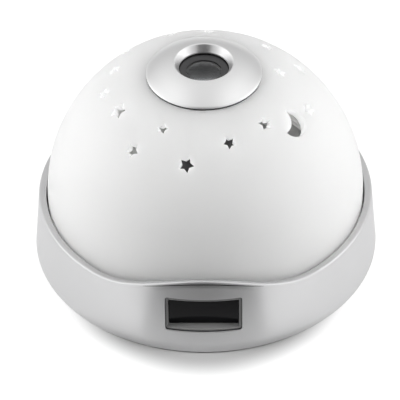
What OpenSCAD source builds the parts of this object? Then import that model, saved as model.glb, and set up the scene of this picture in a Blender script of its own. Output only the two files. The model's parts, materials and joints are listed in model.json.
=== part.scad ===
// A domed projection clock. A base ring with a brow over its display holds a pierced dome, which is
// pressed to snooze, and a focus ring on the dome turns round a projection lens.
// Millimetres. +Z is up, the display faces -Y, and z = 0 is the table.

/* [Base shell] */
// Outer radius of the base at its foot
base_r = 56; // [55:0.1:58]
// How far the wall leans in from its foot to its level rim
wall_lean = 1.8; // [1:0.1:2.4]
// Height of the level rim above the table
rim_z = 20.9; // [20.5:0.1:22]
// Thickness of the base wall
base_wall = 2.1; // [1.8:0.1:2.4]
// Gap between the table and the base wall
foot_gap = 0.8; // [0.6:0.1:1]
// How far the brow over the display rises above the level rim
brow_rise = 7.8; // [6:0.1:9]
// Angle from the front at which the brow has died away
brow_half_angle = 40; // [36:1:46]
// How far the brow's edge leans out over the display
brow_flare = 0.8; // [0:0.1:1.2]
// Height over which the brow's edge leans out
flare_h = 7; // [6:0.5:8]
// Thickness of the brow's edge
brow_wall = 1.5; // [1.4:0.1:1.8]
// Radius of the rounded outer edge on top of the wall
lip_r = 0.6; // [0.4:0.1:1]
// Radius of the rounded inner edge on top of the wall
inner_lip_r = 0.5; // [0.3:0.1:0.8]
// Radius of the rounded edge at the foot of the wall
toe_r = 0.6; // [0.3:0.1:0.8]

/* [Display] */
// Width of the display opening
window_w = 24.2; // [22:0.1:25]
// Height of the display opening
window_h = 12.4; // [11:0.1:12.8]
// Height of the opening's lower edge above the table
window_z = 8.5; // [8:0.1:9]
// Corner radius of the opening
window_corner_r = 0.8; // [0.6:0.1:1.5]
// Seam between the opening and the bezel
bezel_seam = 0.25; // [0.15:0.05:0.3]
// Width of the bezel's front edge
bezel_rim = 0.3; // [0.2:0.05:0.5]
// How far the bezel's walls close in on their way back
bezel_draft = 0.6; // [0.3:0.1:0.8]
// How far the bezel's sill rises on its way back
sill_draft = 0.1; // [0:0.1:0.6]
// How far the bezel's edge sits below the wall
bezel_inset = 0.4; // [0.2:0.1:0.6]
// How far the bezel's flange laps the wall inside
bezel_lap = 2; // [1.5:0.1:2]
// Depth of the display behind the wall's surface
display_depth = 3.6; // [3.4:0.1:4]
// Thickness of the clear plate over the display
display_lens_t = 1; // [0.8:0.1:1.2]
// How far the clear plate is lapped by the bezel
display_lens_lap = 0.6; // [0.4:0.1:0.8]
// Thickness of the display cell
lcd_t = 1.8; // [1.4:0.1:2.2]
// Thickness of the backlight
backlight_t = 2.2; // [1.8:0.1:2.6]
// Half width of the display cell
lcd_x = 12.6; // [12:0.1:12.8]
// Wall of the display holder
holder_wall = 1.1; // [0.9:0.1:1.3]

/* [Dome] */
// Gap between the rim and the dome
dome_gap = 0.75; // [0.7:0.05:1]
// Thickness of the dome
dome_wall = 2.4; // [2:0.1:2.6]
// Height of the dome's widest ring above the level rim
dome_lift = 0.1; // [0:0.1:0.6]
// Length of the dome's skirt below its widest ring
dome_skirt = 4.6; // [4.3:0.1:4.8]
// Radius of the arc that rounds off the dome's crown below a full ball
crown_r = 41; // [39:0.5:44]
// Angle from the pole at which the crown begins
crown_from = 45; // [42:1:48]
// Travel of the dome when it is pressed
dome_travel = 1.2; // [0.8:0.1:1.3]
// Free height of the springs under the dome
spring_len = 5.4; // [5:0.1:6]
// Wire radius of the dome springs
spring_wire_r = 0.3; // [0.25:0.05:0.35]
// Turns of each dome spring
spring_turns = 4; // [3:1:4]
// Radius of the dome's guide posts
post_r = 2.4; // [2:0.1:2.6]
// Distance from the carrier's sleeve to the middle of a guide post
guide_inset = 3.94; // [3.8:0.02:4.4]
// Wall of the carrier's sleeve
carrier_wall = 1; // [0.8:0.1:1.2]
// Thickness of the carrier's flange
carrier_flange_t = 1.5; // [1.2:0.1:2]
// How far the carrier's flange runs inwards past the guide posts
flange_lap = 2; // [1.4:0.1:2.6]
// Height of the carrier's foot under the dome's skirt
carrier_foot_t = 1.2; // [1:0.1:1.4]

/* [Star pattern] */
// Tip radius of a star of size 1
star_r = 2.6; // [2.2:0.1:3]
// Ratio of a star's inner corners to its tips
star_waist = 0.54; // [0.45:0.01:0.6]
// Radius of the moon's outer edge
moon_r = 4.7; // [4.2:0.1:5.2]
// Radius of the moon's inner edge
moon_bite_r = 5.2; // [4.8:0.1:5.6]
// Offset of the moon's inner edge from its outer edge
moon_bite_shift = 5.8; // [5:0.1:6.2]

/* [Focus ring] */
// Outer radius of the focus ring
ring_r = 18.3; // [17.8:0.1:19]
// Radius of the focus ring's crest
ring_crest_r = 9.6; // [9.3:0.1:10]
// Radius of the opening over the lens
ring_lip_r = 7.9; // [7.4:0.1:8]
// Height of the crest above the dome below it
ring_rise = 3.5; // [3.2:0.1:3.8]
// Depth of the bowl inside the crest
bowl_depth = 2.3; // [2:0.1:2.6]
// Gap between the ring and the dome
ring_gap = 0.35; // [0.25:0.05:0.5]
// Height of the ring's outer edge
ring_edge_h = 0.6; // [0.4:0.1:0.8]
// Outward swell of the ring's sloping face
ring_swell = 0.45; // [0.1:0.05:0.7]
// Outer radius of the skirt that passes through the dome
ring_skirt_r = 12.5; // [12.3:0.1:12.8]
// Turn of the focus ring each way
focus_turn = 45; // [30:1:50]
// Travel of the lens each way
focus_lift = 0.8; // [0.5:0.1:0.9]
// Thickness of the retaining clip
clip_t = 0.7; // [0.5:0.1:0.8]
// Outer radius of the retaining clip
clip_r = 14; // [13.6:0.1:14.2]

/* [Projector] */
// Outer radius of the projector tube
tube_r = 10.4; // [10.2:0.1:10.5]
// Length of the projector tube
tube_len = 40; // [38:0.5:42]
// Outer radius of the sliding lens cell
cell_r = 9; // [8.8:0.1:9.1]
// Length of the lens cell
cell_len = 7.8; // [7:0.1:8.5]
// Radius of the front lens
front_lens_r = 8.1; // [7.9:0.1:8.2]
// Edge thickness of the front lens
front_lens_edge = 1.6; // [1.2:0.1:1.8]
// Curvature of the front lens
front_lens_curve = 16; // [14:0.5:22]
// Radius of the tube's lower bore
tube_bore_r = 8.4; // [8:0.1:8.6]
// Radius of the aperture in the tube's ledge
aperture_r = 6; // [5:0.1:6.5]
// Width of the square picture slide
slide_w = 11.6; // [11:0.1:11.8]
// Thickness of the picture slide
slide_t = 1.1; // [0.8:0.1:1.4]
// Height of the picture slide above the tube's lower end
slide_up = 14.2; // [13.5:0.1:15]
// Curvature of the condenser lens
condenser_curve = 12; // [11:0.5:16]
// Radius of the light source of the projector
led_r = 2.5; // [1.5:0.1:2.5]

/* [Keys] */
// Width of a key
key_w = 9; // [8:0.1:9.5]
// Height of a key
key_h = 4.4; // [4:0.1:5]
// Distance between keys
key_pitch = 12; // [11.5:0.1:12]
// Height of the keys above the table
key_z = 11; // [10:0.1:11.5]
// How far the keys stand out of the wall
key_proud = 0.8; // [0.5:0.1:1]
// Travel of a key
key_travel = 0.8; // [0.5:0.1:0.9]
// Gap round a key in its opening
key_gap = 0.2; // [0.15:0.05:0.3]
// Distance of the key board from the foot of the wall
key_board_inset = 18; // [17.8:0.1:18.2]

/* [Power and sound] */
// Radius of a battery cell
battery_r = 5.25; // [5.1:0.05:5.3]
// Length of a battery cell
battery_len = 44.5; // [44:0.1:45]
// Room for the contacts at each end of the cells
contact_room = 2.35; // [2.2:0.05:2.6]
// Thickness of the battery door
door_t = 1.6; // [1.4:0.1:1.8]
// Radius of the door's hinge barrel
barrel_r = 1.5; // [1.4:0.05:1.6]
// Radius of the door's hinge pins
hinge_pin_r = 0.8; // [0.6:0.05:0.8]
// Room round the speaker's collar, between the battery bay and the wall
speaker_room = 2.3; // [2:0.1:3]
// Height of the speaker
speaker_h = 5.4; // [4.8:0.1:6]

/* [Inside] */
// Thickness of the bottom cover
cover_t = 2; // [1.8:0.1:2.4]
// Thickness of the circuit boards
pcb_t = 1.6; // [1.2:0.1:1.6]
// Distance of the deck's posts from the foot of the wall
deck_post_inset = 18; // [17.6:0.1:18.6]
// How far the main circuit board ends short of the posts' middle
pcb_inset = 1; // [0.5:0.1:2]
// Thickness of the deck under the dome
deck_t = 1.6; // [1.4:0.1:2]
// Distance between the main circuit board and the deck
deck_lift = 2.2; // [2:0.1:2.4]
// Radius of a screw boss
boss_r = 3.2; // [3:0.1:3.4]
// Radius of a screw's shank
screw_r = 1.2; // [1:0.05:1.25]
// Radius of a screw's head
screw_head_r = 2.5; // [2.2:0.1:2.6]
// Radius of a foot
foot_r = 4.5; // [4:0.1:5]
// Distance of the feet from the foot of the wall
foot_inset = 10; // [9.6:0.1:11]

/* [Hidden] */
$fn = 180;
// Segments of the circles whose radius is tens of millimetres
fine = 360;
// Clearances: a turning or sliding fit, a loose fit of two pieces, and a seat
running = 0.06;
loose = 0.3;
seat = 0.05;
eps = 0.01;
// How far a cut runs past the face it opens
over = 1;
// Steps of a rounded edge, and slices of the lofted base wall
arc_steps = 3;
loft_slices = 120;
FLARE_STEPS = [0, 0.4, 0.7, 0.88];
far = 2 * base_r;
rim_r = base_r - wall_lean;

// Heights of the stack, from the table upwards
plate_top = foot_gap + cover_t;
battery_z = foot_gap + door_t + loose + battery_r;
bay_wall = 1.2;
bay_ceiling = battery_z + battery_r + loose;
bay_top = bay_ceiling + bay_wall;
pcb_z = bay_top + 2 * loose;
pcb_top = pcb_z + pcb_t;
deck_z = pcb_top + deck_lift;
deck_top = deck_z + deck_t;

// Dome
dome_r = rim_r - base_wall - dome_gap;
dome_in = dome_r - dome_wall;
dome_z = rim_z + dome_lift;
crown_mid = [0, dome_z] + (dome_r - crown_r) * [sin(crown_from), cos(crown_from)];
skirt_z = dome_z - dome_skirt;
flange_z = deck_top + spring_len;
carrier_out = chord(dome_in, flange_z + carrier_flange_t - dome_z) - loose;
carrier_in = carrier_out - carrier_wall;
deck_r = carrier_in - 2 * loose;
guide_at = carrier_in - guide_inset;
carrier_flange_in = guide_at - post_r - flange_lap;
post_end = deck_z - seat;
GUIDE_ANGLES = [0, 120, 240];
washer_r = guide_inset - loose;
washer_t = 1;
guide_screw_r = 0.95;
guide_screw_len = 5;

// Display
window_mid = window_z + window_h / 2;
display_y = wall_r(window_mid) - display_depth;
bezel_back = display_y - display_lens_t;
view_x = window_w / 2 - bezel_seam - bezel_rim - bezel_draft;
view_top = window_h / 2 - bezel_seam - bezel_rim - bezel_draft;
view_low = window_h / 2 - bezel_seam - bezel_rim - sill_draft;
display_lens_x = view_x + display_lens_lap;
display_lens_top = view_top + display_lens_lap;
display_lens_low = view_low + display_lens_lap;
lcd_h = window_h + 2 * bezel_lap - 2 * holder_wall - loose;
lcd_y = bezel_back - seat;
lcd_ledge = 1.6;
backlight_y = lcd_y - lcd_t - seat;
holder_x = lcd_x + holder_wall + loose / 2;
holder_step = 0.5;
holder_front = lcd_y - holder_step;
holder_cavity_back = backlight_y - backlight_t - seat;
holder_back = holder_cavity_back - holder_wall;
holder_top = window_z + window_h + bezel_lap;
holder_leg = 4;
notch_x = holder_x + 2 * loose;
notch_z = holder_top + dome_travel + 2 * loose;

// Star pattern: azimuth from the front, angle from the pole, size and turn of each star
STARS = [
  [-8.7, 42, 1, 14.5], [16.4, 34.6, 0.88, -15.5], [44.2, 32.7, 0.92, 21], [77.6, 41.2, 0.92, 30],
  [-28.7, 31.1, 0.73, -31], [-65.6, 35, 1.15, -8], [-39.6, 42.4, 0.92, 16], [-87, 38.2, 0.92, 26],
  [-107, 36, 0.92, 5], [99, 28.5, 0.85, 18], [112, 40, 1, 9], [134, 33, 0.88, 31],
  [158, 42, 1, 3], [178, 31, 0.85, 22], [-131, 41, 1, 15], [-157, 34, 0.88, 33]
];
moon_az = 60.4;
moon_polar = 38.8;
moon_turn = -51;

// Focus ring, lens cell and projector tube
ring_top = dome_top(ring_crest_r) + ring_rise;
ring_foot = dome_top(ring_r) + ring_gap;
lip_z = ring_top - bowl_depth;
lip_t = 0.4;
lip_under = lip_z - lip_t;
crest_round = 0.5;
crest_from = 65;
crest_to = 150;
skirt_in = tube_r + running;
dome_hole_r = ring_skirt_r + running;
clip_top = dome_under(clip_r) - loose;
clip_groove = 0.6;
clip_in = ring_skirt_r - clip_groove;
clip_mouth = 60;
skirt_tail = 0.9;
ring_skirt_end = clip_top - clip_t - skirt_tail;
tube_top = lip_under - 1.5 * loose;
tube_end = tube_top - tube_len;
cell_top = lip_under - focus_lift - loose;
cell_bottom = cell_top - cell_len;
lens_ledge = 0.9;
cell_bore_r = front_lens_r - lens_ledge;
front_lens_drop = 1.8;
front_lens_z = cell_top - front_lens_drop;
rear_ledge = 0.4;
rear_lens_r = cell_bore_r + rear_ledge;
rear_lens_t = 2.4;
tube_step = cell_bottom - focus_lift - loose;
pin_r = 0.8;
pin_drop = 1.4;
pin_z = cell_top - pin_drop;
pin_reach = 0.7;
pin_end = skirt_in + pin_reach;
pin_play = 0.1;
pin_slot_r = pin_r + 2 * pin_play;
pin_sink = 0.5;
pin_root = cell_r - pin_sink;
PIN_ANGLES = [0, 180];
cam_steps = 18;
tube_screw_at = 16.9;
tube_boss_r = 2.3;
tube_boss_len = 2.5;
boss_sink = 0.2;
boss_skin = 0.5;
tube_seat = dome_under(tube_screw_at) - tube_boss_len;
tube_flange_t = 1.8;
tube_flange_lap = 2.6;
tube_flange_r = tube_screw_at + tube_flange_lap;
tube_screw_r = 0.95;
tube_head_r = 2;
tube_head_h = 1.2;
TUBE_ANGLES = [30, 150, 270];
ledge_t = 1;
slide_z = tube_end + slide_up;
condenser_top = slide_z - ledge_t - seat;
condenser_r = tube_bore_r - 2 * seat;
condenser_edge = 1.5;
base_plug_t = 1.4;
base_plug_wall = 0.75;
led_board_t = 1.2;
led_h = 6;
led_rim = 0.4;
led_rim_h = 1;

// Keys and their switches
key_board_y = base_r - key_board_inset;
KEY_X = [for (i = [0:3]) (i - 1.5) * key_pitch];
key_flange_lap = 0.7;
key_flange_t = 1;
switch_w = 6;
switch_depth = 3.5;
plunger_r = 1.7;
plunger_out = 1.3;
plunger_in = 1.2;
plunger_spare = 0.2;
key_board_x = 22.5;
key_board_h = 11.2;
key_board_lift = 1.2;
key_board_z = plate_top + key_board_lift;
key_rail_h = 8;
key_rail_w = 2.4;
key_rail_lap = 0.8;
key_switch_y = key_board_y + pcb_t;
key_plunger_tip = key_switch_y + switch_depth + plunger_out;

// Snooze switch
snooze_inset = 18.5;
snooze_at = base_r - snooze_inset;
snooze_angle = -30;
snooze_x = snooze_at * cos(snooze_angle);
snooze_y = snooze_at * sin(snooze_angle);
snooze_top = pcb_top + switch_depth;
snooze_tip = snooze_top + plunger_out;

// Battery bay and door
battery_space = 0.4;
battery_pitch = 2 * battery_r + battery_space;
battery_nub_r = 1.9;
battery_nub = 1.2;
contact_t = 0.4;
contact_w = 8;
contact_cone_r = 3.4;
contact_tip_r = 2.2;
bay_x = battery_len / 2 + contact_room;
bay_y = 1.5 * battery_pitch + loose;
barrel_inset = 2.6;
barrel_half = bay_x - barrel_inset;
hinge_y = bay_y + bay_wall + barrel_r + loose;
hinge_z = foot_gap + barrel_r;
hinge_pin_len = 2;
hinge_block = 3.2;
hinge_block_wall = 0.4;
hinge_block_back = 1;
hinge_block_front = 0.2;
scoop_r = 6;
scoop_w = 14;
scoop_depth = 1.2;
scoop_back = 1;
grip_ribs = 4;
grip_pitch = 2;
grip_depth = 0.4;

// Deck posts, screw bosses, feet, speaker and slide switch
POST_ANGLES = [60, 180, 300];
deck_post_at = base_r - deck_post_inset;
deck_post_r = 3.2;
deck_spigot_r = 2;
BOSS_ANGLES = [45, 135, 225, 315];
boss_from_wall = 4.2;
boss_at = inner_r(foot_gap) - boss_r - boss_from_wall;
boss_top = skirt_z - carrier_foot_t - dome_travel - 2 * loose;
boss_rib_w = 2;
counterbore = 1.1;
head_below = 0.2;
screw_head_h = 1.4;
bottom_screw_len = 8;
FOOT_ANGLES = [22, 158, 202, 338];
foot_at = base_r - foot_inset;
foot_recess = 0.6;
magnet_r = 5.6;
magnet_h = 2;
collar_wall = 1.1;
collar_h = 1.6;
speaker_from = bay_x + bay_wall;
speaker_to = inner_r(plate_top) - loose;
speaker_at = (speaker_from + speaker_to) / 2;
speaker_r = (speaker_to - speaker_from) / 2 - collar_wall - loose / 2 - speaker_room;
speaker_lip = 0.8;
speaker_rim_h = 1.2;
basket_step = 0.6;
basket_wall = 0.3;
cone_t = 0.4;
cone_neck = 1;
grille_r = 0.7;
grille_rings = 3;
grille_edge = 0.6;
grille_pitch = (speaker_r - speaker_lip - grille_r - grille_edge) / grille_rings;
switch_inset = 14.2;
switch_angle = 217.8;
switch_x = (base_r - switch_inset) * cos(switch_angle);
switch_y = (base_r - switch_inset) * sin(switch_angle);
knob_w = 3;
knob_d = 2.4;
knob_travel = 3;
knob_out = 0.5;
carriage_w = 6;
carriage_d = 3.6;
carriage_t = 1.5;
slide_body_w = 11;
slide_body_d = 5.6;
slide_body_h = 4.4;

// Circuit board: ears round its posts, chips and sockets as x and y in shares of the board's radius,
// width and depth, and a row of capacitors
pcb_r = deck_post_at - pcb_inset;
pcb_ear = 1;
chip_h = 1.4;
CHIPS = [[-0.32, 0.16, 12, 12], [0.27, -0.38, 6, 5], [-0.59, 0.59, 9, 4], [0.38, 0.59, 9, 4]];
CAPACITORS = [for (i = [0:4]) [-0.49 + 0.11 * i, -0.59, 2, 1.2]];

// Lights on the deck
light_board_in = 12.5;
light_board_r = 24;
light_board_t = 1.2;
light_count = 6;
light_at = 18;
light_w = 5;
light_h = 1.5;

// Height of a circle of radius r at a distance x from its middle
function chord(r, x) = sqrt(r * r - x * x);

// Height of the dome's outer and inner face at a distance x from the axis, within its crown
function dome_top(x) = crown_mid[1] + chord(crown_r, x - crown_mid[0]);
function dome_under(x) = crown_mid[1] + chord(crown_r - dome_wall, x - crown_mid[0]);

// Radius of the base wall's outer and inner face at height z
function wall_r(z) = base_r - (base_r - rim_r) * (z - foot_gap) / (rim_z - foot_gap);
function inner_r(z) = wall_r(z) - base_wall;

// Share of the brow's rise at an angle from the front, and the wall's top there
function brow(a) = abs(a) < brow_half_angle ? (1 + cos(180 * a / brow_half_angle)) / 2 : 0;
function rim_top(a) = rim_z + brow_rise * brow(a);

// Share of the brow's lean at a share of the flare's height, gentle at first and quick at the edge
function lean(t) = (t * t + pow(t, 6)) / 2;

// Points of an arc from angle a to angle b
function arc(x, y, r, a, b, steps) =
  [for (i = [0:steps]) let (t = a + (b - a) * i / steps) [x + r * cos(t), y + r * sin(t)]];

// Section of the base wall, as radius and height, at an angle from the front
function wall_section(a) =
  let (
    top = rim_top(a),
    flare = brow_flare * brow(a),
    start = top - flare_h,
    edge = wall_r(top) + flare,
    inner = edge - base_wall + (base_wall - brow_wall) * brow(a)
  )
  concat(
    arc(wall_r(foot_gap) - toe_r, foot_gap + toe_r, toe_r, -90, 0, arc_steps),
    [for (t = FLARE_STEPS)
      let (z = start + (flare_h - lip_r) * t) [wall_r(z) + flare * lean(t), z]],
    arc(edge - lip_r, top - lip_r, lip_r, 0, 90, arc_steps),
    arc(inner + inner_lip_r, top - inner_lip_r, inner_lip_r, 90, 180, arc_steps),
    [[inner_r(start), start], [inner_r(foot_gap), foot_gap]]
  );

// Loft of the base wall round the axis
module wall_loft() {
  rings = [for (i = [0:loft_slices - 1])
    let (a = 360 * i / loft_slices - 180)
    [for (p = wall_section(a)) [p[0] * sin(a), -p[0] * cos(a), p[1]]]];
  m = len(rings[0]);
  n = loft_slices;
  polyhedron(
    points = [for (r = rings) each r],
    faces = [for (i = [0:n - 1], j = [0:m - 1])
      let (k = (i + 1) % n, l = (j + 1) % m)
      each [[i * m + j, i * m + l, k * m + l], [i * m + j, k * m + l, k * m + j]]]
  );
}

// Cone that follows the base wall at an offset from its outer face, from the foot to a height
module wall_cone(offset_r, top) {
  translate([0, 0, foot_gap])
    cylinder(r1 = wall_r(foot_gap) + offset_r, r2 = wall_r(top) + offset_r, h = top - foot_gap,
      $fn = fine);
}

// Rectangle with round corners, centred
module round_rect(w, h, r) {
  square([w - 2 * r, h], center = true);
  square([w, h - 2 * r], center = true);
  for (x = [-1, 1], y = [-1, 1])
    translate([x * (w / 2 - r), y * (h / 2 - r)]) circle(r);
}

// Prism with round corners that runs along Y from one distance to another
module prism_y(w, h, r, from, to) {
  translate([0, to, 0]) rotate([90, 0, 0]) linear_extrude(to - from) round_rect(w, h, r);
}

// Block given by its half width and its lowest and highest Y and Z
module block(half_w, y0, y1, z0, z1) {
  translate([-half_w, y0, z0]) cube([2 * half_w, y1 - y0, z1 - z0]);
}

// Children repeated at a distance from the axis and at a list of angles
module around(distance, angles) {
  for (a = angles) rotate([0, 0, a]) translate([distance, 0, 0]) children();
}

module tube(r_out, r_in, z0, z1) {
  translate([0, 0, z0]) difference() {
    cylinder(r = r_out, h = z1 - z0);
    translate([0, 0, -over]) cylinder(r = r_in, h = z1 - z0 + 2 * over);
  }
}

module rod(r, z0, z1) {
  translate([0, 0, z0]) cylinder(r = r, h = z1 - z0);
}

// Screw with its head's underside at height z, and its shank up or down from there
module screw(head_r, head_h, shank_r, shank_len, z, up) {
  rod(head_r, up ? z - head_h : z, up ? z : z + head_h);
  rod(shank_r, up ? z - eps : z - shank_len, up ? z + shank_len : z + eps);
}

module base_shell() {
  color("silver") difference() {
    union() {
      wall_loft();
      around(boss_at, BOSS_ANGLES) {
        rod(boss_r, plate_top, boss_top);
        translate([0, -boss_rib_w / 2, plate_top])
          cube([inner_r(boss_top) + base_wall / 2 - boss_at, boss_rib_w, boss_top - plate_top]);
      }
    }
    around(boss_at, BOSS_ANGLES) rod(screw_r + seat, plate_top - over, boss_top - base_wall);
    translate([0, 0, window_mid])
      prism_y(window_w, window_h, window_corner_r, -far, -base_r / 2);
    for (x = KEY_X) translate([x, 0, key_z])
      prism_y(key_w + 2 * key_gap, key_h + 2 * key_gap, key_h / 2, base_r / 2, far);
  }
}

// Walls and ceiling of the battery bay, open downwards
module battery_bay() {
  difference() {
    block(bay_x + bay_wall, -bay_y - bay_wall, bay_y + bay_wall, plate_top - eps, bay_top);
    block(bay_x, -bay_y, bay_y, 0, bay_ceiling);
  }
}

// Posts that carry the circuit board on a shoulder and the deck on a spigot
module deck_posts() {
  around(deck_post_at, POST_ANGLES) {
    rod(deck_post_r, plate_top - eps, pcb_z);
    rod(deck_spigot_r, pcb_z - eps, deck_z - seat);
  }
}

// Slotted rails that hold the key board upright
module key_rails() {
  for (s = [-1, 1]) scale([s, 1, 1]) difference() {
    translate([key_board_x - key_rail_lap, key_board_y - bay_wall, plate_top - eps])
      cube([key_rail_w, pcb_t + 2 * bay_wall, key_rail_h]);
    translate([0, key_board_y - seat, key_board_z])
      cube([key_board_x + seat, pcb_t + 2 * seat, key_board_h + over]);
  }
}

// Round speaker holes in rings about a centre hole
module grille() {
  translate([speaker_at, 0, 0])
    for (k = [0:grille_rings], i = [0:max(6 * k, 1) - 1])
      rotate([0, 0, 60 * i / max(k, 1)]) translate([k * grille_pitch, 0, 0])
        rod(grille_r, 0, plate_top + over);
}

module bottom_cover() {
  color("dimgray") difference() {
    union() {
      rod(inner_r(plate_top) - loose, foot_gap, plate_top);
      battery_bay();
      deck_posts();
      key_rails();
      translate([speaker_at, 0, 0])
        tube(speaker_r + loose / 2 + collar_wall, speaker_r + loose / 2, plate_top - eps,
          plate_top + collar_h);
      for (s = [-1, 1]) translate([s * (barrel_half + loose + hinge_block / 2), 0, 0])
        block(hinge_block / 2, hinge_y - barrel_r - hinge_block_front,
          hinge_y + barrel_r + hinge_block_back, foot_gap, hinge_z + barrel_r + hinge_block_wall);
    }
    block(bay_x, -bay_y, bay_y, 0, plate_top + eps);
    block(barrel_half + loose, bay_y - eps, hinge_y + barrel_r + loose, 0, plate_top);
    translate([-barrel_half - hinge_pin_len - 2 * loose, hinge_y, hinge_z]) rotate([0, 90, 0])
      cylinder(r = hinge_pin_r + running, h = 2 * (barrel_half + hinge_pin_len + 2 * loose));
    translate([-scoop_w / 2, -bay_y - scoop_back, foot_gap - scoop_r + scoop_depth]) rotate([0, 90, 0])
      cylinder(r = scoop_r, h = scoop_w);
    around(boss_at, BOSS_ANGLES) {
      rod(screw_r + loose, 0, plate_top + over);
      rod(screw_head_r + loose, 0, foot_gap + counterbore);
    }
    around(foot_at, FOOT_ANGLES) rod(foot_r + seat, 0, foot_gap + foot_recess);
    around(deck_post_at, POST_ANGLES) rod(screw_r + seat, plate_top, deck_z + over);
    grille();
    translate([switch_x, switch_y, 0])
      block((knob_w + knob_travel) / 2 + loose, -knob_d / 2 - loose, knob_d / 2 + loose, 0,
        plate_top + over);
  }
}

module bottom_screws() {
  color("gainsboro") around(boss_at, BOSS_ANGLES)
    screw(screw_head_r, counterbore - head_below, screw_r, bottom_screw_len, foot_gap + counterbore,
      true);
}

module feet() {
  color("black") around(foot_at, FOOT_ANGLES) rod(foot_r, 0, foot_gap + foot_recess);
}

module battery_door() {
  color("dimgray") difference() {
    union() {
      block(bay_x - loose, -bay_y + loose, bay_y - 2 * loose, foot_gap, foot_gap + door_t);
      block(barrel_half, 0, hinge_y, foot_gap, foot_gap + door_t);
      translate([-barrel_half, hinge_y, hinge_z]) rotate([0, 90, 0])
        cylinder(r = barrel_r, h = 2 * barrel_half);
      translate([-barrel_half - hinge_pin_len, hinge_y, hinge_z]) rotate([0, 90, 0])
        cylinder(r = hinge_pin_r, h = 2 * (barrel_half + hinge_pin_len));
    }
    for (i = [1:grip_ribs])
      block(scoop_w / 2, -bay_y + (i + 0.5) * grip_pitch, -bay_y + (i + 1) * grip_pitch,
        0, foot_gap + grip_depth);
  }
}

module battery_cells() {
  color("darkgoldenrod") for (i = [-1:1]) translate([0, i * battery_pitch, battery_z])
    rotate([0, i == 0 ? -90 : 90, 0]) translate([0, 0, -battery_len / 2]) {
      cylinder(r = battery_r, h = battery_len - battery_nub);
      cylinder(r = battery_nub_r, h = battery_len);
    }
}

// A plate at each end of each cell, with a cone to the cell's flat end and a bump to its nub
module battery_contacts() {
  reach = bay_x - contact_t - battery_len / 2 - seat;
  color("gainsboro") for (i = [-1:1], s = [-1, 1])
    translate([s * bay_x, i * battery_pitch, battery_z]) rotate([0, -90 * s, 0]) {
      translate([-contact_w / 2, -contact_w / 2, 0]) cube([contact_w, contact_w, contact_t]);
      if ((i == 0) == (s < 0))
        translate([0, 0, contact_t - eps]) cylinder(r = battery_nub_r, h = reach);
      else
        translate([0, 0, contact_t - eps]) cylinder(r1 = contact_cone_r, r2 = contact_tip_r, h = reach);
    }
}

module speaker() {
  neck = speaker_h - magnet_h;
  color("dimgray") translate([speaker_at, 0, plate_top]) rotate_extrude() polygon([
    [speaker_r - speaker_lip, 0], [speaker_r, 0], [speaker_r, speaker_rim_h],
    [magnet_r + basket_step, neck], [magnet_r, neck], [magnet_r, speaker_h], [0, speaker_h],
    [0, neck - cone_t], [magnet_r - cone_t / 2, neck - cone_t],
    [speaker_r - speaker_lip, speaker_rim_h - basket_wall]
  ]);
}

module speaker_cone() {
  lift = 2 * seat;
  edge = speaker_r - speaker_lip - lift;
  neck = speaker_h - magnet_h - 3 * cone_t;
  neck_r = magnet_r - cone_neck;
  color("black") translate([speaker_at, 0, plate_top]) rotate_extrude() polygon([
    [edge, lift], [edge, lift + cone_t], [neck_r, neck], [0, neck],
    [0, neck - cone_t], [neck_r - lift, neck - cone_t]
  ]);
}

module lcd_bezel() {
  outer_w = window_w - 2 * bezel_seam;
  outer_h = window_h - 2 * bezel_seam;
  color("gray") difference() {
    union() {
      intersection() {
        translate([0, 0, window_mid])
          prism_y(outer_w, outer_h, window_corner_r - bezel_seam, -far, -bezel_back);
        wall_cone(-bezel_inset, rim_z + brow_rise);
      }
      intersection() {
        block(holder_x, -far, -bezel_back, window_z - bezel_lap, window_z + window_h + bezel_lap);
        wall_cone(-base_wall - loose / 2, rim_z + brow_rise);
      }
    }
    bezel_mouth();
    translate([0, 0, window_mid])
      block(display_lens_x + seat, -display_y, -bezel_back + over,
        -display_lens_low - seat, display_lens_top + seat);
  }
}

// Drafted hole in the bezel, wide at the front
module bezel_mouth() {
  mouth_y = base_r;
  reach = (mouth_y - display_y) / display_depth;
  grow = bezel_draft * reach;
  translate([0, 0, window_mid]) hull() {
    block(view_x, -display_y - eps, -display_y + eps, -view_low, view_top);
    block(view_x + grow, -mouth_y - eps, -mouth_y, -view_low - sill_draft * reach, view_top + grow);
  }
}

module display_lens() {
  color([0.1, 0.1, 0.11]) translate([0, 0, window_mid])
    block(display_lens_x, -display_y, -bezel_back, -display_lens_low, display_lens_top);
}

// Two glass plates, the front one shorter to bare the contact edge
module lcd_cell() {
  color([0.25, 0.28, 0.27]) translate([0, 0, window_mid]) {
    block(lcd_x, -lcd_y, -lcd_y + lcd_t / 2 + eps, -lcd_h / 2 + lcd_ledge, lcd_h / 2);
    block(lcd_x, -lcd_y + lcd_t / 2, -lcd_y + lcd_t, -lcd_h / 2, lcd_h / 2);
  }
}

module lcd_backlight() {
  color("white") translate([0, 0, window_mid])
    block(lcd_x, -backlight_y, -backlight_y + backlight_t, -lcd_h / 2, lcd_h / 2);
}

module lcd_holder() {
  cavity = lcd_h / 2 + loose / 2;
  color("whitesmoke") difference() {
    block(holder_x, -holder_front, -holder_back, plate_top, holder_top);
    translate([0, 0, window_mid])
      block(lcd_x + loose / 2, -far, -holder_cavity_back, -cavity, cavity);
    block(holder_x - holder_leg, -far, 0, plate_top - over, window_mid - cavity - holder_wall);
  }
}

// Round ear of the circuit board and the arm that joins it to the middle
module pcb_arm(r, distance) {
  rod(r, pcb_z, pcb_top);
  translate([-distance, -r, pcb_z]) cube([distance, 2 * r, pcb_t]);
}

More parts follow.
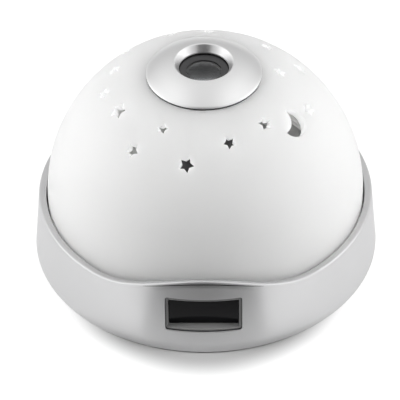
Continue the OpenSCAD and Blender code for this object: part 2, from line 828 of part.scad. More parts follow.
module main_pcb() {
  color("darkgreen") difference() {
    union() {
      rod(pcb_r, pcb_z, pcb_top);
      around(deck_post_at, POST_ANGLES) pcb_arm(deck_post_r + pcb_ear, deck_post_at);
      around(snooze_at, [snooze_angle]) pcb_arm(switch_w / 2 + 1.5 * pcb_ear, snooze_at);
    }
    around(deck_post_at, POST_ANGLES) rod(deck_spigot_r + loose / 2, pcb_z - over, pcb_top + over);
  }
}

// Main chip, driver chip, sockets and a row of capacitors
module pcb_components() {
  color([0.12, 0.12, 0.13]) for (c = concat(CHIPS, CAPACITORS))
    translate([c[0] * pcb_r, c[1] * pcb_r, pcb_top]) cube([c[2], c[3], chip_h]);
}

// Switch body with a well for its plunger, which opens along +Z
module switch_body(travel) {
  well = plunger_in + travel + plunger_spare;
  difference() {
    translate([-switch_w / 2, -switch_w / 2, 0]) cube([switch_w, switch_w, switch_depth]);
    rod(plunger_r + running, switch_depth - well, switch_depth + over);
  }
}

module snooze_switch() {
  color("black") translate([snooze_x, snooze_y, pcb_top]) switch_body(dome_travel);
}

module snooze_plunger() {
  color("red") translate([snooze_x, snooze_y, 0])
    rod(plunger_r, snooze_top - plunger_in, snooze_tip);
}

module key_board() {
  color("darkgreen")
    block(key_board_x, key_board_y, key_switch_y, key_board_z, key_board_z + key_board_h);
}

module key_switches() {
  color("black") for (x = KEY_X)
    translate([x, key_switch_y, key_z]) rotate([-90, 0, 0]) switch_body(key_travel);
}

module slide_switch() {
  color("black") translate([switch_x, switch_y, 0]) difference() {
    block(slide_body_w / 2, -slide_body_d / 2, slide_body_d / 2, plate_top, plate_top + slide_body_h);
    block((carriage_w + knob_travel) / 2 + loose / 2, -carriage_d / 2 - 2 * seat,
      carriage_d / 2 + 2 * seat, plate_top - over, plate_top + carriage_t + loose);
  }
}

module switch_knob() {
  color("black") translate([switch_x - knob_travel / 2, switch_y, 0]) {
    block(knob_w / 2, -knob_d / 2, knob_d / 2, foot_gap - knob_out, plate_top + carriage_t / 2);
    block(carriage_w / 2, -carriage_d / 2, carriage_d / 2, plate_top + 2 * seat, plate_top + carriage_t);
  }
}

module reflector_deck() {
  color("white") difference() {
    union() {
      rod(deck_r, deck_z, deck_top);
      around(deck_post_at, POST_ANGLES) rod(deck_post_r, pcb_top, deck_z + eps);
    }
    around(deck_post_at, POST_ANGLES) {
      rod(deck_spigot_r + loose / 2, pcb_top - over, deck_z);
      rod(screw_r + seat, pcb_top, deck_top + over);
    }
    around(guide_at, GUIDE_ANGLES) rod(post_r + running, deck_z - over, deck_top + over);
    translate([snooze_x, snooze_y, 0])
      block(switch_w / 2 + loose, -switch_w / 2 - loose, switch_w / 2 + loose, deck_z - over,
        deck_top + over);
    block(holder_x + loose, -far, -holder_back + loose, deck_z - over, deck_top + over);
    rod(light_board_in / 2, deck_z - over, deck_top + over);
  }
}

module deck_screws() {
  color("gainsboro") around(deck_post_at, POST_ANGLES)
    screw(screw_head_r, screw_head_h, screw_r, deck_top - battery_z, deck_top, false);
}

module light_board() {
  color("white") tube(light_board_r, light_board_in, deck_top, deck_top + light_board_t);
}

module light_leds() {
  foot = deck_top + light_board_t;
  color("lightyellow") around(light_at, [for (i = [0:light_count - 1]) 360 * i / light_count])
    block(light_w / 2, -light_w / 2, light_w / 2, foot, foot + light_h);
}

// Five-pointed star that points down
module star(tip_r) {
  polygon([for (i = [0:9])
    let (a = -90 + 36 * i, r = i % 2 == 0 ? tip_r : tip_r * star_waist) [r * cos(a), r * sin(a)]]);
}

module crescent() {
  difference() {
    circle(moon_r);
    translate([-moon_bite_shift, 0]) circle(moon_bite_r);
  }
}

// Children cut through the dome at an azimuth from the front and an angle from the pole
module on_dome(azimuth, polar, turn) {
  translate([0, 0, dome_z]) rotate([0, 0, azimuth]) rotate([polar, 0, 0]) rotate([0, 0, turn])
    translate([0, 0, dome_in - dome_wall]) linear_extrude(3 * dome_wall) children();
}

// Half plane on one side of the line from the middle of the dome's circle to the edge of its crown
module crown_side(outside) {
  translate([0, dome_z]) rotate(90 - crown_from) translate([-far, outside ? -far : 0])
    square([2 * far, far]);
}

// Section of the dome: the wall of its great circle, and the wall of its crown from the edge inwards
module dome_section() {
  intersection() {
    union() {
      intersection() {
        crown_side(true);
        translate([0, dome_z]) wall_circle(dome_r);
      }
      intersection() {
        crown_side(false);
        translate(crown_mid) wall_circle(crown_r);
      }
    }
    translate([dome_hole_r, skirt_z]) square(far);
  }
}

module wall_circle(r) {
  difference() {
    circle(r, $fn = fine);
    circle(r - dome_wall, $fn = fine);
  }
}

module dome() {
  boss_up = dome_under(tube_screw_at - tube_boss_r) + boss_sink;
  color("white") difference() {
    union() {
      rotate_extrude($fn = fine) dome_section();
      around(tube_screw_at, TUBE_ANGLES) rod(tube_boss_r, tube_seat, boss_up);
    }
    around(tube_screw_at, TUBE_ANGLES) rod(tube_screw_r + seat, tube_seat - over, boss_up - boss_skin);
    block(notch_x, -far, 0, 0, notch_z);
    for (s = STARS) on_dome(s[0], s[1], s[3]) star(s[2] * star_r);
    on_dome(moon_az, moon_polar, moon_turn) crescent();
  }
}

module dome_carrier() {
  foot_out = dome_r - loose;
  color("white") difference() {
    union() {
      tube(foot_out, carrier_in, skirt_z - carrier_foot_t, skirt_z);
      tube(carrier_out, carrier_in, skirt_z - eps, flange_z + carrier_flange_t);
      tube(carrier_out, carrier_flange_in, flange_z, flange_z + carrier_flange_t);
      around(guide_at, GUIDE_ANGLES) rod(post_r, post_end, flange_z + eps);
      translate([snooze_x, snooze_y, 0]) {
        rod(switch_w / 2, flange_z, flange_z + carrier_flange_t);
        rod(plunger_r, snooze_tip, flange_z + eps);
      }
    }
    block(notch_x, -far, 0, 0, flange_z - loose);
    around(guide_at, GUIDE_ANGLES) rod(guide_screw_r + seat, 0, post_end + guide_screw_len + loose);
  }
}

module dome_screws() {
  color("gainsboro") around(guide_at, GUIDE_ANGLES)
    screw(washer_r, washer_t, guide_screw_r, guide_screw_len, post_end, true);
}

// One unbroken tube along a helix, with flat ends
module coil(r, wire_r, turns, z0, z1) {
  sides = 6;
  rings = 8 * turns;
  function centre(i) =
    let (a = 360 * turns * i / rings) [r * cos(a), r * sin(a), z0 + (z1 - z0) * i / rings];
  function ring(i) =
    let (a = 360 * turns * i / rings)
    [for (j = [0:sides - 1])
      let (b = 360 * j / sides)
      centre(i) + wire_r * [cos(b) * cos(a), cos(b) * sin(a), sin(b)]];
  polyhedron(
    points = [for (i = [0:rings]) each ring(i)],
    faces = concat(
      [for (j = [1:sides - 2]) [0, j, j + 1]],
      [for (i = [0:rings - 1], j = [0:sides - 1])
        let (l = (j + 1) % sides, p = i * sides, q = p + sides)
        each [[p + j, q + j, q + l], [p + j, q + l, p + l]]],
      [for (j = [1:sides - 2]) let (p = rings * sides) [p, p + j + 1, p + j]]
    )
  );
}

module dome_springs() {
  coil_r = post_r + loose + 2 * spring_wire_r;
  color("gainsboro") around(guide_at, GUIDE_ANGLES)
    coil(coil_r, spring_wire_r, spring_turns, deck_top + spring_wire_r + seat,
      flange_z - spring_wire_r - seat);
}

// Point at an angle on a circle
function on_circle(centre, r, a) = centre + r * [cos(a), sin(a)];

// Circular bulge of a given height on the line from p to q, on its outer side
module bulge(p, q, height) {
  d = q - p;
  out = [d[1], -d[0]] / norm(d);
  r = (norm(d) * norm(d) / 4 + height * height) / (2 * height);
  intersection() {
    translate((p + q) / 2 - out * (r - height)) circle(r, $fn = fine);
    polygon([p, q, q + out * 2 * height, p + out * 2 * height]);
  }
}

// Section of the focus ring: an edge, a swelled slope, a round crest, a bowl that ends in a lip over
// the lens, and a skirt that passes through the dome
module ring_section() {
  crest = [ring_crest_r, ring_top - crest_round];
  slope_foot = [ring_r, ring_foot + ring_edge_h];
  slope_top = on_circle(crest, crest_round, crest_from);
  difference() {
    union() {
      polygon([
        [skirt_in, ring_skirt_end], [ring_skirt_r, ring_skirt_end], [ring_skirt_r, ring_foot - over],
        [ring_r, ring_foot - over], slope_foot, slope_top, crest,
        on_circle(crest, crest_round, crest_to), [ring_lip_r, lip_z], [ring_lip_r, lip_under],
        [skirt_in, lip_under]
      ]);
      translate(crest) circle(crest_round);
      bulge(slope_foot, slope_top, ring_swell);
    }
    intersection() {
      translate(crown_mid) circle(crown_r + ring_gap, $fn = fine);
      translate([ring_skirt_r, 0]) square(far);
    }
  }
}

module focus_ring() {
  color("silver") difference() {
    rotate_extrude() ring_section();
    tube(ring_skirt_r + over, clip_in, clip_top - clip_t - seat, clip_top + seat);
    for (a = PIN_ANGLES) rotate([0, 0, a])
      translate([skirt_in - over, -pin_r - running, ring_skirt_end - over])
        cube([pin_end + pin_play - skirt_in + over, 2 * (pin_r + running),
          pin_z + focus_lift + pin_slot_r - ring_skirt_end + over]);
  }
}

// Open ring that snaps into the groove of the focus ring under the dome
module ring_clip() {
  color("gainsboro") difference() {
    tube(clip_r, clip_in + seat, clip_top - clip_t, clip_top);
    rotate([0, 0, 90 - clip_mouth / 2]) translate([0, 0, clip_top - 2 * clip_t])
      rotate_extrude(angle = clip_mouth) square([clip_r + over, 3 * clip_t]);
  }
}

module lens_cell() {
  color([0.08, 0.08, 0.09]) difference() {
    union() {
      rod(cell_r, cell_bottom, cell_top);
      for (a = PIN_ANGLES) rotate([0, 0, a]) translate([pin_root, 0, pin_z]) rotate([0, 90, 0])
        cylinder(r = pin_r, h = pin_end - pin_root);
    }
    rod(cell_bore_r, cell_bottom - over, cell_top + over);
    rod(front_lens_r + seat, front_lens_z, cell_top + over);
    rod(rear_lens_r + seat, cell_bottom - over, cell_bottom + rear_lens_t + seat);
  }
}

// Lens with a flat base at z = 0, a straight edge and a domed top
module lens_shape(r, edge, curve) {
  rotate_extrude() intersection() {
    translate([0, edge - chord(curve, r)]) circle(curve, $fn = fine);
    square([r, edge + curve]);
  }
}

module front_lens() {
  color([0.2, 0.22, 0.26]) translate([0, 0, front_lens_z])
    lens_shape(front_lens_r, front_lens_edge, front_lens_curve);
}

module rear_lens() {
  color([0.2, 0.22, 0.26]) translate([0, 0, cell_bottom + rear_lens_t]) rotate([180, 0, 0])
    lens_shape(rear_lens_r, rear_lens_t / 2, 3 * front_lens_curve);
}

// Slanted slot drilled through the tube's neck along the path of a lens cell pin
module cam_slot() {
  for (i = [0:cam_steps]) let (t = 2 * i / cam_steps - 1)
    rotate([0, 0, focus_turn * t]) translate([pin_root, 0, pin_z + focus_lift * t])
      rotate([0, 90, 0]) cylinder(r = pin_slot_r, h = tube_r - pin_root + over);
}

module projector_tube() {
  color([0.06, 0.06, 0.07]) difference() {
    union() {
      rod(tube_r, tube_end, tube_top);
      rod(tube_flange_r, tube_seat - tube_flange_t, tube_seat);
    }
    rod(cell_r + running, tube_step, tube_top + over);
    rod(tube_bore_r, slide_z, tube_step + eps);
    rod(aperture_r, tube_end - over, slide_z + over);
    rod(tube_bore_r, tube_end - over, slide_z - ledge_t);
    around(tube_screw_at, TUBE_ANGLES)
      rod(tube_screw_r + loose, tube_seat - tube_flange_t - over, tube_seat + over);
    for (a = PIN_ANGLES) rotate([0, 0, a]) cam_slot();
  }
}

module tube_screws() {
  color("gainsboro") around(tube_screw_at, TUBE_ANGLES)
    screw(tube_head_r, tube_head_h, tube_screw_r, tube_flange_t + tube_boss_len,
      tube_seat - tube_flange_t, true);
}

module projection_slide() {
  color([0.3, 0.32, 0.35]) block(slide_w / 2, -slide_w / 2, slide_w / 2, slide_z, slide_z + slide_t);
}

module condenser_lens() {
  color([0.75, 0.8, 0.82]) translate([0, 0, condenser_top]) rotate([180, 0, 0])
    lens_shape(condenser_r, condenser_edge, condenser_curve);
}

// Plug that closes the tube, with a sleeve up to the condenser lens
module projector_base() {
  sleeve_in = condenser_r - base_plug_wall;
  droop = chord(condenser_curve, sleeve_in) - chord(condenser_curve, condenser_r);
  color([0.06, 0.06, 0.07]) {
    rod(tube_r, tube_end - base_plug_t, tube_end);
    tube(condenser_r, sleeve_in, tube_end - eps, condenser_top - condenser_edge - droop - seat);
  }
}

module projector_led_board() {
  color("white") rod(condenser_r - base_plug_wall - loose / 2, tube_end, tube_end + led_board_t);
}

module projector_led() {
  foot = tube_end + led_board_t;
  color("lightyellow") {
    rod(led_r, foot, foot + led_h - led_r);
    translate([0, 0, foot + led_h - led_r]) sphere(led_r);
    rod(led_r + led_rim, foot, foot + led_rim_h);
  }
}

// Key whose face follows the base wall, with a flange behind the wall and a stem to its switch
module key(x) {
  flange_w = key_w + 2 * key_flange_lap;
  flange_h = key_h + 2 * key_flange_lap;
  reach = abs(x) + flange_w / 2;
  flange_y = chord(inner_r(key_z + flange_h / 2) - loose, reach);
  color("dimgray") {
    intersection() {
      translate([x, 0, key_z])
        prism_y(key_w, key_h, key_h / 2 - key_gap, flange_y - eps, far);
      wall_cone(key_proud, rim_z);
    }
    translate([x, 0, key_z])
      prism_y(flange_w, flange_h, key_h / 2, flange_y - key_flange_t, flange_y);
    translate([x, key_plunger_tip, key_z]) rotate([-90, 0, 0])
      cylinder(r = plunger_r, h = flange_y - key_flange_t - key_plunger_tip + eps);
  }
}

// Moving peg of a key's switch
module key_plunger(x) {
  color("ivory") translate([x, key_plunger_tip, key_z]) rotate([90, 0, 0])
    cylinder(r = plunger_r, h = plunger_out + plunger_in);
}

module mode_key() {
  key(KEY_X[0]);
}

module set_key() {
  key(KEY_X[1]);
}

module up_key() {
  key(KEY_X[2]);
}

module down_key() {
  key(KEY_X[3]);
}

module mode_plunger() {
  key_plunger(KEY_X[0]);
}

module set_plunger() {
  key_plunger(KEY_X[1]);
}

module up_plunger() {
  key_plunger(KEY_X[2]);
}

module down_plunger() {
  key_plunger(KEY_X[3]);
}

base_shell();
bottom_cover();
bottom_screws();
feet();
battery_door();
battery_cells();
battery_contacts();
speaker();
speaker_cone();
lcd_bezel();
display_lens();
lcd_cell();
lcd_backlight();
lcd_holder();
main_pcb();
pcb_components();
snooze_switch();
key_board();
key_switches();
slide_switch();
switch_knob();
reflector_deck();
deck_screws();
light_board();
light_leds();
dome();
dome_carrier();
dome_screws();
dome_springs();
snooze_plunger();
focus_ring();
ring_clip();
lens_cell();
front_lens();
rear_lens();
projector_tube();
tube_screws();
projection_slide();
condenser_lens();
projector_base();
projector_led_board();
projector_led();
mode_key();
set_key();
up_key();
down_key();
mode_plunger();
set_plunger();
up_plunger();
down_plunger();
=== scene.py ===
"""Looks of the domed projection clock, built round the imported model. Metres, +Z up, the display faces -Y."""
import json
import math

import bmesh
import bpy
from mathutils import Matrix, Vector


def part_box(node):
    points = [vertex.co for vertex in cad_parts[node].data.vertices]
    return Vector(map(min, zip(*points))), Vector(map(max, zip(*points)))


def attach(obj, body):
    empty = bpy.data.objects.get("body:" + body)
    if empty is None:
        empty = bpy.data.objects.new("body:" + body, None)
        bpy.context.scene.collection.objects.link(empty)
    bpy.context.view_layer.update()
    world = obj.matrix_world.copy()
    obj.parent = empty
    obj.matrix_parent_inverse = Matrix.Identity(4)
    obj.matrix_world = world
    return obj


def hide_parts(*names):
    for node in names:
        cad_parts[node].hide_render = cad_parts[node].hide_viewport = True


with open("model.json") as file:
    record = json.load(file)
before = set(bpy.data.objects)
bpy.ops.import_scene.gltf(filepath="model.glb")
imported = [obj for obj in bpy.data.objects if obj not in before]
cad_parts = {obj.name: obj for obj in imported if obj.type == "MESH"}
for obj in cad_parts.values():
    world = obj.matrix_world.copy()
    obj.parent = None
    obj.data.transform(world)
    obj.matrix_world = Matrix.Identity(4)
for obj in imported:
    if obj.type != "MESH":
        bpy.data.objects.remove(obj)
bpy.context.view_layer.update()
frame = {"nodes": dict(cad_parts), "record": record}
NODES = frame["nodes"]
MM = 0.001

# Sizes of the part in millimetres and degrees, as in its source
BASE_R, WALL_LEAN, RIM_Z, BASE_WALL, FOOT_GAP = 56.0, 1.8, 20.9, 2.1, 0.8
RIM_R = BASE_R - WALL_LEAN
BROW_RISE, BROW_HALF, BROW_FLARE, FLARE_H, BROW_WALL = 7.8, 40.0, 0.8, 7.0, 1.5
LIP_R, INNER_LIP_R = 0.6, 0.5
WINDOW_W, WINDOW_H, WINDOW_Z, WINDOW_CORNER = 24.2, 12.4, 8.5, 0.8
WINDOW_MID = WINDOW_Z + WINDOW_H / 2
KEY_W, KEY_H, KEY_Z, KEY_GAP, KEY_PITCH = 9.0, 4.4, 11.0, 0.2, 12.0
KEY_X = [(i - 1.5) * KEY_PITCH for i in range(4)]
DOME_GAP, DOME_LIFT = 0.75, 0.1
DOME_R, DOME_Z = RIM_R - BASE_WALL - DOME_GAP, RIM_Z + DOME_LIFT
CROWN_R, CROWN_FROM = 41.0, 45.0
RING_R, RING_CREST_R, RING_LIP_R, RING_SKIRT_R, RING_SKIRT_IN = 18.3, 9.6, 7.9, 12.5, 10.46
RING_GAP, RING_RISE, RING_SWELL, BOWL_DEPTH, LIP_T = 0.35, 3.5, 0.45, 2.3, 0.4
CREST_ROUND, CREST_FROM, CREST_TO = 0.5, 65, 150
SCREW_AT, SCREW_HEAD_R, SCREW_R, SCREW_LEN = 46.5, 2.5, 1.2, 8.0
SCREW_HEAD_Z = (1.0, 1.9)
CELL_R, CELL_LEN, CELL_SPACE, CELL_Z = 5.25, 44.5, 0.4, 7.95
CELL_PITCH = 2 * CELL_R + CELL_SPACE
NUB_R, NUB_LEN = 1.9, 1.2
CONTACT_ROOM, CONTACT_W, CONTACT_T = 2.35, 8.0, 0.4
BAY_X = CELL_LEN / 2 + CONTACT_ROOM

# Sizes of the detail that the scene adds, in millimetres, degrees and shares
RIM_WALL, TOE_R, TOE_Z = 2.4, 0.3, 0.3
BEAD_UNDER, WALL_FLARE, COVE_DEPTH, COVE_FROM = -15, 0.15, 0.5, 0.6
# Place, size and taper of the dark strip that paints the shade under the brow's bead
SHADE_LINE_TOP, SHADE_LINE_DROP, SHADE_LINE_HALF, SHADE_LINE_OUT, SHADE_LINE_FROM = 0.7, 0.8, 0.42, 0.12, 0.45
WINDOW_EDGE, WINDOW_SLACK = 0.25, 0.2
DISPLAY_LAP, DISPLAY_RAISE, DISPLAY_CORNER, DISPLAY_EDGE = 0.64, 0.8, 0.3, 0.15
RING_EDGE_H, RING_EDGE_LEAN, RING_EDGE_R, RING_LIFT = 0.5, 0.3, 0.1, 0.25
# Reach of the dark band that paints the shade under the ring's foot
SHADE_BAND_IN, SHADE_BAND_SHORT = 1.5, 0.08
GLASS_R, GLASS_EYE_R, GLASS_CURVE = 7.7, 5.6, 10.5
MASK_DROP, MASK_T, MASK_SLOPE, MASK_FLAT, MASK_LAP = 0.5, 0.3, 0.25, 0.3, 0.1
SCREW_EDGE, CROSS_LONG, CROSS_WIDE, CROSS_DEPTH = 0.3, 1.5, 0.25, 0.55
CELL_SHOULDER, NUB_EDGE = 0.7, 0.4
GROOVE_OUT, GROOVE_IN, GROOVE_DEPTH = 0.8, 0.5, 0.2
COIL_WIRE, COIL_TURNS, COIL_FOOT_R, COIL_TIP_R = 0.22, 3, 3.3, 2.1
BUTTON_R, BUTTON_FLAT_R, BUTTON_SINK, CONTACT_PLAY = 2.6, 1.2, 0.1, 0.05

# Counts of steps along the lofted and coiled pieces
BASE_STEPS, SHADE_LINE_STEPS, COIL_STEPS = 480, 120, 96

# Where the cutters of the base start and end along Y, in millimetres
CUT_NEAR, CUT_FAR = 30, 80

# Vertices that are closer than this become one, in metres
WELD = 1e-7


# Mesh helpers

def smooth(obj, angle=30.0):
    for p in obj.data.polygons:
        p.use_smooth = True
    obj.data.set_sharp_from_angle(angle=math.radians(angle))


def new_object(name, bm, angle=30.0):
    mesh = bpy.data.meshes.new(name)
    bmesh.ops.recalc_face_normals(bm, faces=bm.faces)
    bm.to_mesh(mesh)
    bm.free()
    obj = bpy.data.objects.new(name, mesh)
    bpy.context.scene.collection.objects.link(obj)
    smooth(obj, angle)
    return obj


def weld(bm):
    bmesh.ops.remove_doubles(bm, verts=bm.verts, dist=WELD)


def grid_faces(bm, rings, close_rings=True):
    n, m = len(rings), len(rings[0])
    for i in range(n if close_rings else n - 1):
        a, b = rings[i], rings[(i + 1) % n]
        for j in range(m):
            k = (j + 1) % m
            bm.faces.new((a[j], a[k], b[k], b[j]))


def add_loft(bm, rings):
    """Skin over a row of rings, with a face at both ends."""
    grid_faces(bm, rings, close_rings=False)
    bm.faces.new(rings[0])
    bm.faces.new(rings[-1])


def add_lathe(bm, profile, place=Matrix(), segments=256):
    """Closed profile of (radius, height) in millimetres, turned about Z and then placed."""
    rings = []
    for i in range(segments):
        a = 2 * math.pi * i / segments
        rings.append([bm.verts.new(place @ Vector((r * MM * math.cos(a), r * MM * math.sin(a), z * MM)))
                      for r, z in profile])
    grid_faces(bm, rings)


def add_tube(bm, path, radius, closed, sides=10):
    """Round bar along a path in metres. Each point comes with a direction to start its ring from."""
    rings = []
    n = len(path)
    turn = [2 * math.pi * k / sides for k in range(sides)]
    for i, (point, start) in enumerate(path):
        ahead = path[(i + 1) % n if closed else min(i + 1, n - 1)][0]
        behind = path[i - 1 if closed else max(i - 1, 0)][0]
        tangent = (ahead - behind).normalized()
        u = (start - start.dot(tangent) * tangent).normalized()
        v = tangent.cross(u)
        rings.append([bm.verts.new(point + radius * MM * (math.cos(t) * u + math.sin(t) * v)) for t in turn])
    if closed:
        grid_faces(bm, rings)
    else:
        add_loft(bm, rings)


def add_box(bm, low, high):
    """Box between two corners in millimetres."""
    size = [h - l for l, h in zip(low, high)]
    middle = Vector([(l + h) / 2 * MM for l, h in zip(low, high)])
    place = Matrix.Translation(middle) @ Matrix.Diagonal((*[s * MM for s in size], 1.0))
    bmesh.ops.create_cube(bm, size=1.0, matrix=place)


def spread(start, end, steps):
    """Values from start to end in even steps, both included."""
    return [start + (end - start) * i / steps for i in range(steps + 1)]


def arc(x, y, r, a, b, steps):
    """Points of an arc about (x, y), from angle a to angle b in degrees."""
    turn = [math.radians(t) for t in spread(a, b, steps)]
    return [(x + r * math.cos(t), y + r * math.sin(t)) for t in turn]


def round_rect(w, h, r, steps=8):
    pts = []
    for sx, sy, a in ((1, 1, 0), (-1, 1, 90), (-1, -1, 180), (1, -1, 270)):
        pts += arc(sx * (w / 2 - r), sy * (h / 2 - r), r, a, a + 90, steps)
    return pts


def prism_y(name, outline, x, z, y0, y1):
    """Outline in X and Z, extruded along Y, in millimetres."""
    bm = bmesh.new()
    add_loft(bm, [[bm.verts.new(((x + px) * MM, y * MM, (z + pz) * MM)) for px, pz in outline]
                  for y in (y0, y1)])
    return new_object(name, bm)


def cut(obj, cutters):
    """Takes the cutters out of an object and deletes them."""
    for c in cutters:
        mod = obj.modifiers.new("cut", "BOOLEAN")
        mod.operation = "DIFFERENCE"
        mod.solver = "EXACT"
        mod.object = c
    deps = bpy.context.evaluated_depsgraph_get()
    mesh = bpy.data.meshes.new_from_object(obj.evaluated_get(deps))
    obj.modifiers.clear()
    old = obj.data
    obj.data = mesh
    bpy.data.meshes.remove(old)
    for c in cutters:
        bpy.data.objects.remove(c)
    smooth(obj)


# Shader helpers

# The part of a noise's values that its colours and gloss are spread over
NOISE_LOW, NOISE_HIGH = 0.3, 0.7


def node_tree(name):
    mat = bpy.data.materials.new(name)
    mat.use_nodes = True
    tree = mat.node_tree
    return mat, tree, tree.nodes["Principled BSDF"]


def object_coords(tree):
    return tree.nodes.new("ShaderNodeTexCoord").outputs["Object"]


def axes(tree, vector):
    split = tree.nodes.new("ShaderNodeSeparateXYZ")
    tree.links.new(vector, split.inputs[0])
    return split.outputs


def feed(tree, value, socket):
    """Sets a socket to a plain number, or links a value to it."""
    if isinstance(value, float):
        socket.default_value = value
    else:
        tree.links.new(value, socket)


def combine(tree, operation, *values):
    m = tree.nodes.new("ShaderNodeMath")
    m.operation = operation
    for value, socket in zip(values, m.inputs):
        feed(tree, value, socket)
    return m.outputs[0]


def remap(tree, value, start, full, low=0.0, high=1.0, kind="LINEAR"):
    """Turns values between start and full into values between low and high."""
    m = tree.nodes.new("ShaderNodeMapRange")
    m.interpolation_type = kind
    m.inputs["From Min"].default_value, m.inputs["From Max"].default_value = start, full
    m.inputs["To Min"].default_value, m.inputs["To Max"].default_value = low, high
    tree.links.new(value, m.inputs["Value"])
    return m.outputs["Result"]


def blend(tree, share, first, second):
    """Mix of two shaders, with the share of the second."""
    mix = tree.nodes.new("ShaderNodeMixShader")
    feed(tree, share, mix.inputs[0])
    tree.links.new(first, mix.inputs[1])
    tree.links.new(second, mix.inputs[2])
    return mix.outputs[0]


def noise(tree, coords, scale, detail=3.0):
    n = tree.nodes.new("ShaderNodeTexNoise")
    n.inputs["Scale"].default_value = scale
    n.inputs["Detail"].default_value = detail
    tree.links.new(coords, n.inputs["Vector"])
    return n.outputs["Fac"]


def ramp(tree, value, low, high, start=NOISE_LOW, full=NOISE_HIGH):
    r = tree.nodes.new("ShaderNodeValToRGB")
    for stop, position, color in zip(r.color_ramp.elements, (start, full), (low, high)):
        stop.position = position
        stop.color = (*color, 1.0)
    tree.links.new(value, r.inputs["Fac"])
    return r.outputs["Color"]


def bump(tree, shader, value, distance):
    b = tree.nodes.new("ShaderNodeBump")
    b.inputs["Strength"].default_value = 1.0
    b.inputs["Distance"].default_value = distance
    tree.links.new(value, b.inputs["Height"])
    tree.links.new(b.outputs["Normal"], shader.inputs["Normal"])


# Materials

LEAST_ROUGH = 0.02
WRAP_DARK, WRAP_COPPER, WRAP_FROM = (0.03, 0.03, 0.032), (0.5, 0.26, 0.12), 0.2


def grey(level):
    return (level, level, level)


def surface(name, color, rough, metallic=0.0, vary=0.04, rough_vary=0.05, grain=6000.0, grain_depth=2e-6,
            cloud=60.0, specular=0.5, passes=0.0, glow_depth=0.0):
    """Moulded or painted surface: clouded colour, uneven gloss and a fine grain.

    A share of the light passes through, and with a glow depth light also spreads under the surface.
    """
    mat, tree, s = node_tree(name)
    s.inputs["Metallic"].default_value = metallic
    s.inputs["Specular IOR Level"].default_value = specular
    if glow_depth:
        s.inputs["Subsurface Weight"].default_value = 1.0
        s.inputs["Subsurface Scale"].default_value = glow_depth
        s.inputs["Subsurface Radius"].default_value = (1.0, 1.0, 1.0)
    coords = object_coords(tree)
    clouds = noise(tree, coords, cloud, 4.0)
    low = [max(0.0, c * (1 - vary)) for c in color]
    high = [min(1.0, c * (1 + vary)) for c in color]
    tree.links.new(ramp(tree, clouds, low, high), s.inputs["Base Color"])
    least, most = max(LEAST_ROUGH, rough - rough_vary), rough + rough_vary
    tree.links.new(remap(tree, clouds, NOISE_LOW, NOISE_HIGH, least, most), s.inputs["Roughness"])
    bump(tree, s, noise(tree, coords, grain, 2.0), grain_depth)
    if passes:
        through = tree.nodes.new("ShaderNodeBsdfTranslucent")
        through.inputs["Color"].default_value = (*color, 1.0)
        both = blend(tree, passes, s.outputs[0], through.outputs[0])
        tree.links.new(both, tree.nodes["Material Output"].inputs["Surface"])
    return mat


def clear(name, color, rough, ior):
    """Clear glass with faint wipe marks in its gloss."""
    mat, tree, s = node_tree(name)
    s.inputs["Transmission Weight"].default_value = 1.0
    s.inputs["IOR"].default_value = ior
    s.inputs["Base Color"].default_value = (*color, 1.0)
    marks = noise(tree, object_coords(tree), 300.0)
    tree.links.new(remap(tree, marks, NOISE_LOW, NOISE_HIGH, rough, rough * 2.5), s.inputs["Roughness"])
    return mat


def cell_wrap(name):
    """Battery wrap: dark, with a copper band at the nub's end. The middle cell lies the other way round."""
    mat, tree, s = node_tree(name)
    coords = object_coords(tree)
    x, y, _ = axes(tree, coords)
    middle = combine(tree, "LESS_THAN", combine(tree, "ABSOLUTE", y), CELL_PITCH / 2 * MM)
    along = combine(tree, "MULTIPLY", x, remap(tree, middle, 0.0, 1.0, 1.0, -1.0))
    band = combine(tree, "GREATER_THAN", along, WRAP_FROM * CELL_LEN * MM)
    tree.links.new(ramp(tree, band, WRAP_DARK, WRAP_COPPER, 0.4, 0.6), s.inputs["Base Color"])
    s.inputs["Metallic"].default_value = 0.4
    marks = noise(tree, coords, 500.0)
    tree.links.new(remap(tree, marks, NOISE_LOW, NOISE_HIGH, 0.25, 0.35), s.inputs["Roughness"])
    return mat


MATERIALS = {
    "silver_paint": surface("silver_paint", (0.71, 0.71, 0.715), 0.38, metallic=0.92, vary=0.02,
                            grain=9000.0),
    "dome_white": surface("dome_white", grey(0.94), 0.4, vary=0.01, cloud=25.0, grain=3000.0, specular=1.0,
                          passes=0.58, glow_depth=0.004),
    "ring_silver": surface("ring_silver", grey(0.85), 0.33, metallic=0.9, vary=0.01, rough_vary=0.01,
                           grain=9000.0),
    "bezel_grey": surface("bezel_grey", grey(0.23), 0.35, specular=0.3),
    "cover_grey": surface("cover_grey", (0.06, 0.06, 0.062), 0.6, grain=2500.0, grain_depth=1.2e-5),
    "key_grey": surface("key_grey", (0.2, 0.2, 0.205), 0.45, grain=3000.0, grain_depth=4e-6),
    "black_plastic": surface("black_plastic", (0.036, 0.036, 0.037), 0.4),
    "white_plastic": surface("white_plastic", (0.9, 0.9, 0.89), 0.5, passes=0.65),
    "display_dark": surface("display_dark", (0.004, 0.004, 0.005), 0.08, vary=0.1, rough_vary=0.02,
                            grain_depth=2e-7, specular=0.22),
    "lcd_glass": surface("lcd_glass", (0.03, 0.035, 0.032), 0.15, rough_vary=0.03, grain_depth=2e-7),
    "lens_glass": clear("lens_glass", (0.38, 0.39, 0.4), 0.01, 1.42),
    "pcb_green": surface("pcb_green", (0.01, 0.06, 0.02), 0.35, vary=0.2, cloud=900.0),
    "chip_black": surface("chip_black", (0.015, 0.015, 0.017), 0.55),
    "steel": surface("steel", (0.56, 0.56, 0.57), 0.3, metallic=1.0, vary=0.06, cloud=400.0),
    "cell_wrap": cell_wrap("cell_wrap"),
    "rubber": surface("rubber", grey(0.014), 0.75, grain=2500.0, grain_depth=8e-6),
    "led_clear": surface("led_clear", (0.8, 0.74, 0.45), 0.2),
    "red_plastic": surface("red_plastic", (0.3, 0.02, 0.015), 0.4),
}
